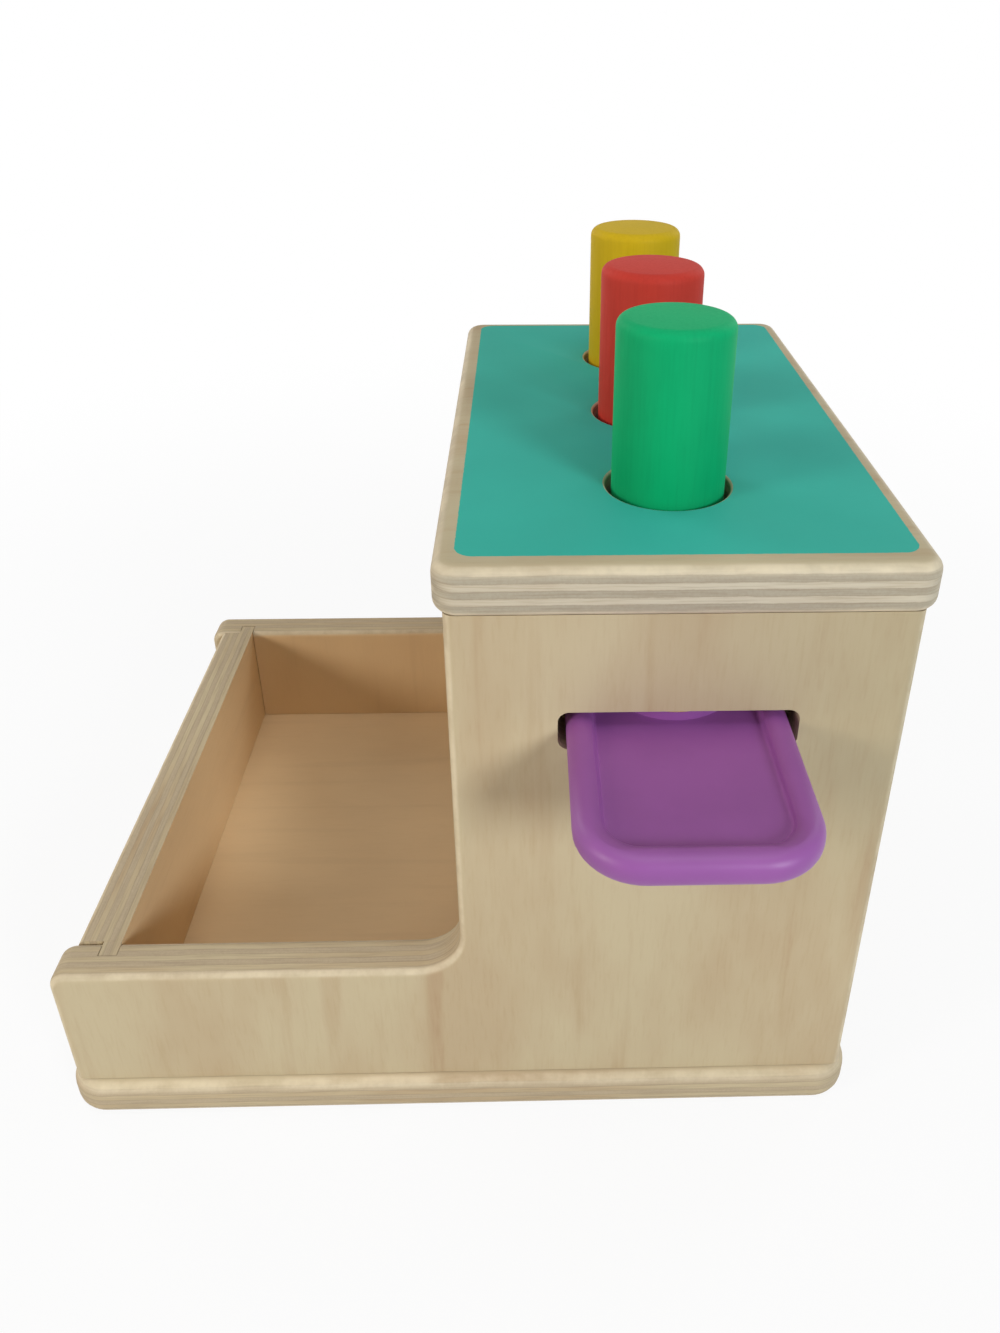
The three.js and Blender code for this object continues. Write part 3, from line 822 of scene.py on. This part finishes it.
def groove_cutters(sizes, inner_face, end):
    """Cutters for the walls' grooves in an end panel; end is -1 at the front and 1 at the rear."""
    gap = sizes.joint_gap
    floor = inner_face + end * (sizes.tongue_length + gap)
    mouth = inner_face - end * OVERCUT
    cutters = []
    for name, low, high, outer_is_low in wall_list():
        x0, x1 = tongue_span(sizes, low, high, outer_is_low)
        foot = low.z - OVERCUT
        if name == "exit_curtain_wall":
            foot = low.z + sizes.board_edge - gap
        corner = (x0 - gap, min(floor, mouth), foot)
        opposite = (x1 + gap, max(floor, mouth), high.z + OVERCUT)
        cutters.append(block(name + "_groove", corner, opposite))
    return cutters


class PEGDROP_OT_end_panels(bpy.types.Operator):
    """Build the two L-shaped end panels"""

    bl_idname = "peg_drop.end_panels"
    bl_label = "End panels"

    def execute(self, context):
        sizes = context.scene.peg_drop_sizes
        colours = context.scene.peg_drop_colours
        ends = (
            ("front_panel", "front_end_panel", FRONT_LOW, FRONT_HIGH, -1),
            ("rear_panel", "rear_end_panel", REAR_LOW, REAR_HIGH, 1),
        )
        for name, node, low, high, end in ends:
            panel = slab(name, panel_corners(sizes, low, high), low.y, high.y, sizes.board_edge, upright)
            cutters = groove_cutters(sizes, high.y if end < 0 else low.y, end)
            if end < 0:
                cutters.append(self.slot_cutter(sizes, low, high))
            combine(panel, cutters, "DIFFERENCE")
            # Painted shade centred at the front panel's upper right end
            heart = (high.x, low.y, high.z - 0.03) if end < 0 else None
            wood = plywood(name, colours, "Y", "Z", low.y, heart=heart)
            dress(panel, wood, "toy_body", "birch_ply", node)
        return {"FINISHED"}

    def slot_cutter(self, sizes, low, high):
        corners = rectangle(
            PEG_X - sizes.slot_half,
            PEG_X + sizes.slot_half,
            SLIDER_LOW.z - sizes.slot_below,
            SLIDER_HIGH.z + sizes.slot_above,
            sizes.slot_corner,
        )
        return flared_cutter("slot", corners, low.y, high.y, sizes.slot_edge, upright)


class PEGDROP_OT_walls(bpy.types.Operator):
    """Build the tray wall, the tower's side wall and the curtain wall over the exit"""

    bl_idname = "peg_drop.walls"
    bl_label = "Walls"

    def execute(self, context):
        sizes = context.scene.peg_drop_sizes
        colours = context.scene.peg_drop_colours
        for node, low, high, outer_is_low in wall_list():
            name = node.replace("exit_curtain", "curtain").replace("tower_side", "side")
            name += "_board"
            inset = sizes.tongue_length + WALL_GAP
            section = self.section(sizes, node, low, high)
            wall = prism(name, section, low.y + inset, high.y - inset, upright)
            x0, x1 = tongue_span(sizes, low, high, outer_is_low)
            foot = low.z + (sizes.board_edge if node == "exit_curtain_wall" else 0)
            head = high.z - sizes.tongue_drop
            combine(wall, [block(node + "_tongue", (x0, low.y, foot), (x1, high.y, head))], "UNION")
            # The curtain shows plain birch on both faces; the other walls get the painted bounce light
            # inside
            bare = node != "exit_curtain_wall"
            wood = plywood(name, colours, "X", "Y", low.x, bare=bare)
            dress(wall, wood, "toy_body", "birch_ply", node)
        return {"FINISHED"}

    def section(self, sizes, node, low, high):
        """The wall's outline in X and Z, with its free end rounded."""
        top = sizes.board_edge if node == "tray_wall" else 0
        bottom = sizes.board_edge if node == "exit_curtain_wall" else 0
        return [
            (low.x, low.z, bottom, True),
            (high.x, low.z, bottom, True),
            (high.x, high.z, top, True),
            (low.x, high.z, top, True),
        ]


class PEGDROP_OT_base(bpy.types.Operator):
    """Build the base board"""

    bl_idname = "peg_drop.base"
    bl_label = "Base board"

    def execute(self, context):
        sizes = context.scene.peg_drop_sizes
        corners = rectangle(BASE_LOW.x, BASE_HIGH.x, BASE_LOW.y, BASE_HIGH.y, sizes.base_corner)
        base = slab("base", corners, BASE_LOW.z, BASE_HIGH.z, sizes.base_edge, lying)
        cutters = [self.countersink(sizes, node) for node in SCREW_NODES]
        combine(base, cutters, "DIFFERENCE")
        material = plywood("base_plywood", context.scene.peg_drop_colours, "Z", "X", BASE_LOW.z)
        dress(base, material, "toy_body", "birch_ply", "base_board")
        return {"FINISHED"}

    def countersink(self, sizes, node):
        """The room round one screw: straight at the head's face, then a cone, then the shank's hole."""
        low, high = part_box(node)
        x, y = (low.x + high.x) / 2, (low.y + high.y) / 2
        head = sizes.screw_head / 2 + sizes.joint_gap
        shank = sizes.screw_shank / 2 + sizes.joint_gap
        levels = [
            (head, -OVERCUT),
            (head, low.z),
            (shank, low.z + sizes.screw_head_height),
            (shank, BASE_HIGH.z + OVERCUT),
        ]
        return lofted(node + "_room", round_rings(x, y, levels, HEAD_STEPS))


class PEGDROP_OT_lid(bpy.types.Operator):
    """Build the lid with its peg holes and painted field"""

    bl_idname = "peg_drop.lid"
    bl_label = "Lid"

    def execute(self, context):
        sizes = context.scene.peg_drop_sizes
        corners = rectangle(LID_LOW.x, LID_HIGH.x, LID_LOW.y, LID_HIGH.y, sizes.lid_corner)
        lid = slab("lid_board", corners, LID_LOW.z, LID_HIGH.z, sizes.lid_edge, lying)
        radius = PEG_RADIUS + sizes.hole_gap
        span = (LID_LOW.z, LID_HIGH.z, sizes.hole_edge)
        cutters = [
            round_cutter(f"{name}_hole", radius, PEG_X, y, *span) for name, y in zip(PEG_NAMES, PEG_ROWS)
        ]
        combine(lid, cutters, "DIFFERENCE")
        material = painted_lid(context.scene.peg_drop_colours, sizes)
        dress(lid, material, "toy_body", "teal_painted_ply", "lid")
        return {"FINISHED"}


class PEGDROP_OT_pegs(bpy.types.Operator):
    """Turn the three painted pegs"""

    bl_idname = "peg_drop.pegs"
    bl_label = "Pegs"

    def execute(self, context):
        sizes = context.scene.peg_drop_sizes
        colours = context.scene.peg_drop_colours
        tree = turned_peg_tree()
        for node, body in zip(PEG_NAMES, PEG_BODIES):
            tint = node.removeprefix("peg_")
            low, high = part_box(node)
            foot = Vector(((low.x + high.x) / 2, (low.y + high.y) / 2, low.z))
            peg = tree.piece(
                f"turned_{node}",
                painted_wood(f"{tint}_paint", getattr(colours, tint)),
                foot,
                Length=high.z - low.z,
                Radius=(high.x - low.x) / 2,
                Edge=sizes.peg_edge,
            )
            dress(peg, peg.data.materials[0], body, f"{tint}_painted_wood", node)
        return {"FINISHED"}


class PEGDROP_OT_slider(bpy.types.Operator):
    """Build the moulded release slider"""

    bl_idname = "peg_drop.slider"
    bl_label = "Release slider"

    def execute(self, context):
        sizes = context.scene.peg_drop_sizes
        left, right = PEG_X - sizes.slider_half, PEG_X + sizes.slider_half
        corners = [
            (left, SLIDER_LOW.y, sizes.tab_corner, True),
            (right, SLIDER_LOW.y, sizes.tab_corner, True),
            (right, SLIDER_HIGH.y, sizes.slider_rear_corner, True),
            (left, SLIDER_HIGH.y, sizes.slider_rear_corner, True),
        ]
        slider = slab("slider", corners, SLIDER_LOW.z, SLIDER_HIGH.z, sizes.slider_edge, lying)
        combine(slider, [self.ears(sizes)], "UNION")
        radius = PEG_RADIUS + sizes.hole_gap
        span = (SLIDER_LOW.z, SLIDER_HIGH.z, sizes.hole_edge)
        cutters = [
            round_cutter(f"{name}_way", radius, PEG_X, y - PUSH_TRAVEL, *span)
            for name, y in zip(PEG_NAMES, PEG_ROWS)
        ]
        cutters.append(self.recess(sizes, left, right, radius + sizes.hole_rim))
        combine(slider, cutters, "DIFFERENCE")
        material = moulded_plastic("purple_plastic", context.scene.peg_drop_colours.purple)
        dress(slider, material, "slider", "purple_plastic", "release_slider")
        return {"FINISHED"}

    def ears(self, sizes):
        """The stop ears, one bar across the plate."""
        front = FRONT_HIGH.y + sizes.ear_gap
        middle = (SLIDER_LOW.z + SLIDER_HIGH.z) / 2
        half = sizes.ear_thickness / 2
        low = (SLIDER_LOW.x, front, middle - half)
        high = (SLIDER_HIGH.x, front + sizes.ear_length, middle + half)
        return block("slider_ears", low, high)

    def recess(self, sizes, left, right, rim_radius):
        """Cutter for the sunk middle of the tab, which leaves the rim of the first hole standing."""
        bead = sizes.bead_width
        rear = FRONT_LOW.y + sizes.recess_past_face
        corners = [
            (left + bead, SLIDER_LOW.y + bead, sizes.tab_corner - bead, True),
            (right - bead, SLIDER_LOW.y + bead, sizes.tab_corner - bead, True),
            (right - bead, rear, 0, False),
            (left + bead, rear, 0, True),
        ]
        floor = SLIDER_HIGH.z - sizes.recess_depth
        levels = [(inset, floor + rise) for inset, rise in rounding(sizes.recess_fillet)]
        drop = (sizes.recess_depth - sizes.recess_fillet) / sizes.bead_round
        flare = [(-rise, SLIDER_HIGH.z - inset * drop) for inset, rise in rounding(sizes.bead_round)]
        levels += flare[1:]
        levels += [(-sizes.bead_round, SLIDER_HIGH.z + OVERCUT)]
        rings = [[lying(p.x, p.y, w) for p in rounded_outline(corners, inset)] for inset, w in levels]
        recess = lofted("tab_recess", rings)
        y = PEG_ROWS[0] - PUSH_TRAVEL
        post = round_cutter("rim_post", rim_radius, PEG_X, y, floor - OVERCUT, SLIDER_HIGH.z + OVERCUT, 0)
        combine(recess, [post], "DIFFERENCE")
        return recess


class PEGDROP_OT_works(bpy.types.Operator):
    """Finish the inner works: rails, ramp, cleat, dowels and screws"""

    bl_idname = "peg_drop.works"
    bl_label = "Inner works"

    def execute(self, context):
        sizes = context.scene.peg_drop_sizes
        colours = context.scene.peg_drop_colours
        strips = planed_softwood("planed_strip", colours, "Y")
        for node in ("slider_rail_exit_side", "slider_rail_wall_side", "ramp_cleat"):
            redress(node, strips)
        redress("peg_ramp", plywood("ramp_plywood", colours, "Z", "Y", LID_HIGH.z, edges=False))
        dowels = planed_softwood("dowel_wood", colours, "Z")
        for node in DOWEL_NODES:
            redress(node, dowels)
        boxes = [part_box(node) for node in SCREW_NODES]
        middles = [(low + high) / 2 for low, high in boxes]
        centre = sum(middles, Vector()) / len(middles)
        centre.z = boxes[0][0].z
        screws = countersunk_screws_tree().piece(
            "base_screws",
            plated_steel("plated_screw", colours.steel),
            centre,
            Head_Radius=sizes.screw_head / 2,
            Head_Height=sizes.screw_head_height,
            Shank_Radius=sizes.screw_shank / 2,
            Length=boxes[0][1].z - boxes[0][0].z,
            Point=sizes.screw_point,
            Spread_X=max(m.x for m in middles) - min(m.x for m in middles),
            Spread_Y=max(m.y for m in middles) - min(m.y for m in middles),
        )
        dress(screws, screws.data.materials[0], "toy_body", "screw_steel", *SCREW_NODES)
        return {"FINISHED"}


# Stage

CAMERA_PLACE = (0.02134, -0.29940, 0.28977)
CAMERA_YAW = 1.523
CAMERA_PITCH = 28.89
CAMERA_ROLL = -0.197
CAMERA_LENS = 38.47
CAMERA_SENSOR = 36.0
CAMERA_SHIFT = (-0.0543, -0.0880)
LAMPS = (
    ("window", (-1.08, -0.68, 0.535), 0.42, 7.0, (1.07, 1.0, 0.91)),
    ("front", (0.80, -1.24, 0.68), 0.42, 12.5, (0.93, 1.0, 1.07)),
    ("above", (0.10, -0.30, 1.70), 1.2, 8.2, (1, 1, 1)),
    ("back_left", (-1.10, 1.00, 0.90), 0.7, 5.5, (1, 1, 1)),
    ("back_right", (1.10, 1.00, 0.90), 0.7, 3.6, (1, 1, 1)),
)
AIM = (0.0, 0.0, 0.08)
SKY_STRENGTH = 0.12
FLOOR_HALF = 6.0
FLOOR_PAPER = (0.8, 0.8, 0.8)
FLOOR_FADE = (0.15, 0.7, 0.9, 1.0)


class PEGDROP_OT_stage(bpy.types.Operator):
    """Set the floor, the soft studio light and the camera"""

    bl_idname = "peg_drop.stage"
    bl_label = "Stage"

    def execute(self, context):
        context.scene.view_settings.view_transform = "Standard"
        self.floor()
        self.sky(context)
        for lamp in LAMPS:
            self.lamp(*lamp)
        self.camera(context)
        return {"FINISHED"}

    def floor(self):
        bm = bmesh.new()
        bmesh.ops.create_grid(bm, x_segments=1, y_segments=1, size=FLOOR_HALF)
        mesh = bpy.data.meshes.new("floor")
        bm.to_mesh(mesh)
        bm.free()
        floor = bpy.data.objects.new("floor", mesh)
        bpy.context.scene.collection.objects.link(floor)
        finish = Finish("white_floor")
        reach = finish.vector("LENGTH", finish.coordinates.outputs["Object"])
        share = finish.math("MULTIPLY", finish.seen(), finish.ramp(reach, *FLOOR_FADE))
        paper = finish.add("ShaderNodeBsdfDiffuse", {"Color": FLOOR_PAPER}).outputs[0]
        white = finish.add("ShaderNodeEmission").outputs[0]
        mix = finish.add("ShaderNodeMixShader", {0: share, 1: paper, 2: white}).outputs[0]
        finish.add("ShaderNodeOutputMaterial", {"Surface": mix})
        mesh.materials.append(finish.material)

    def sky(self, context):
        world = bpy.data.worlds.new("studio")
        context.scene.world = world
        world.use_nodes = True
        nodes = Nodes(world.node_tree)
        sockets = {"Value": nodes.seen(), "To Min": SKY_STRENGTH, "To Max": 1.0}
        strength = nodes.add("ShaderNodeMapRange", sockets).outputs["Result"]
        sky = nodes.add("ShaderNodeBackground", {"Color": (1, 1, 1), "Strength": strength}).outputs[0]
        nodes.add("ShaderNodeOutputWorld", {"Surface": sky})

    def lamp(self, name, place, size, power, tint):
        light = bpy.data.lights.new(name, "AREA")
        light.shape = "DISK"
        light.size = size
        light.energy = power
        light.color = tint
        lamp = bpy.data.objects.new(name, light)
        lamp.location = place
        lamp.rotation_euler = (Vector(AIM) - Vector(place)).to_track_quat("-Z", "Y").to_euler()
        bpy.context.scene.collection.objects.link(lamp)

    def camera(self, context):
        data = bpy.data.cameras.new("camera")
        data.sensor_fit = "HORIZONTAL"
        data.sensor_width = CAMERA_SENSOR
        data.lens = CAMERA_LENS
        data.shift_x, data.shift_y = CAMERA_SHIFT
        data.clip_start = 0.01
        camera = bpy.data.objects.new("camera", data)
        yaw, pitch, roll = (math.radians(angle) for angle in (CAMERA_YAW, CAMERA_PITCH, CAMERA_ROLL))
        ahead = Vector((math.sin(yaw), math.cos(yaw), 0))
        forward = ahead * math.cos(pitch) - Vector((0, 0, math.sin(pitch)))
        level = Vector((math.cos(yaw), -math.sin(yaw), 0))
        down = forward.cross(level)
        right = level * math.cos(roll) + down * math.sin(roll)
        up = right.cross(forward)
        axes = Matrix((right, up, -forward)).transposed()
        camera.matrix_world = Matrix.Translation(CAMERA_PLACE) @ axes.to_4x4()
        context.scene.collection.objects.link(camera)
        context.scene.camera = camera


class PEGDROP_PT_sidebar(bpy.types.Panel):
    """Lists the toy's pieces and settings"""

    bl_idname = "PEGDROP_PT_sidebar"
    bl_label = "Peg Drop Toy"
    bl_space_type = "VIEW_3D"
    bl_region_type = "UI"
    bl_category = "Peg Drop Toy"

    def draw(self, context):
        for operator in OPERATORS:
            self.layout.operator(operator.bl_idname)
        for group in (context.scene.peg_drop_sizes, context.scene.peg_drop_colours):
            for key in group.__annotations__:
                self.layout.prop(group, key)


OPERATORS = (
    PEGDROP_OT_stage,
    PEGDROP_OT_base,
    PEGDROP_OT_end_panels,
    PEGDROP_OT_walls,
    PEGDROP_OT_lid,
    PEGDROP_OT_pegs,
    PEGDROP_OT_slider,
    PEGDROP_OT_works,
)
CLASSES = (PegDropSizes, PegDropColours, *OPERATORS, PEGDROP_PT_sidebar)


def register():
    for cls in CLASSES:
        bpy.utils.register_class(cls)
    bpy.types.Scene.peg_drop_sizes = bpy.props.PointerProperty(type=PegDropSizes)
    bpy.types.Scene.peg_drop_colours = bpy.props.PointerProperty(type=PegDropColours)


def unregister():
    del bpy.types.Scene.peg_drop_colours
    del bpy.types.Scene.peg_drop_sizes
    for cls in reversed(CLASSES):
        bpy.utils.unregister_class(cls)


def main():
    register()
    for operator in OPERATORS:
        getattr(bpy.ops.peg_drop, operator.bl_idname.split(".")[1])()


if __name__ == "__main__":
    main()
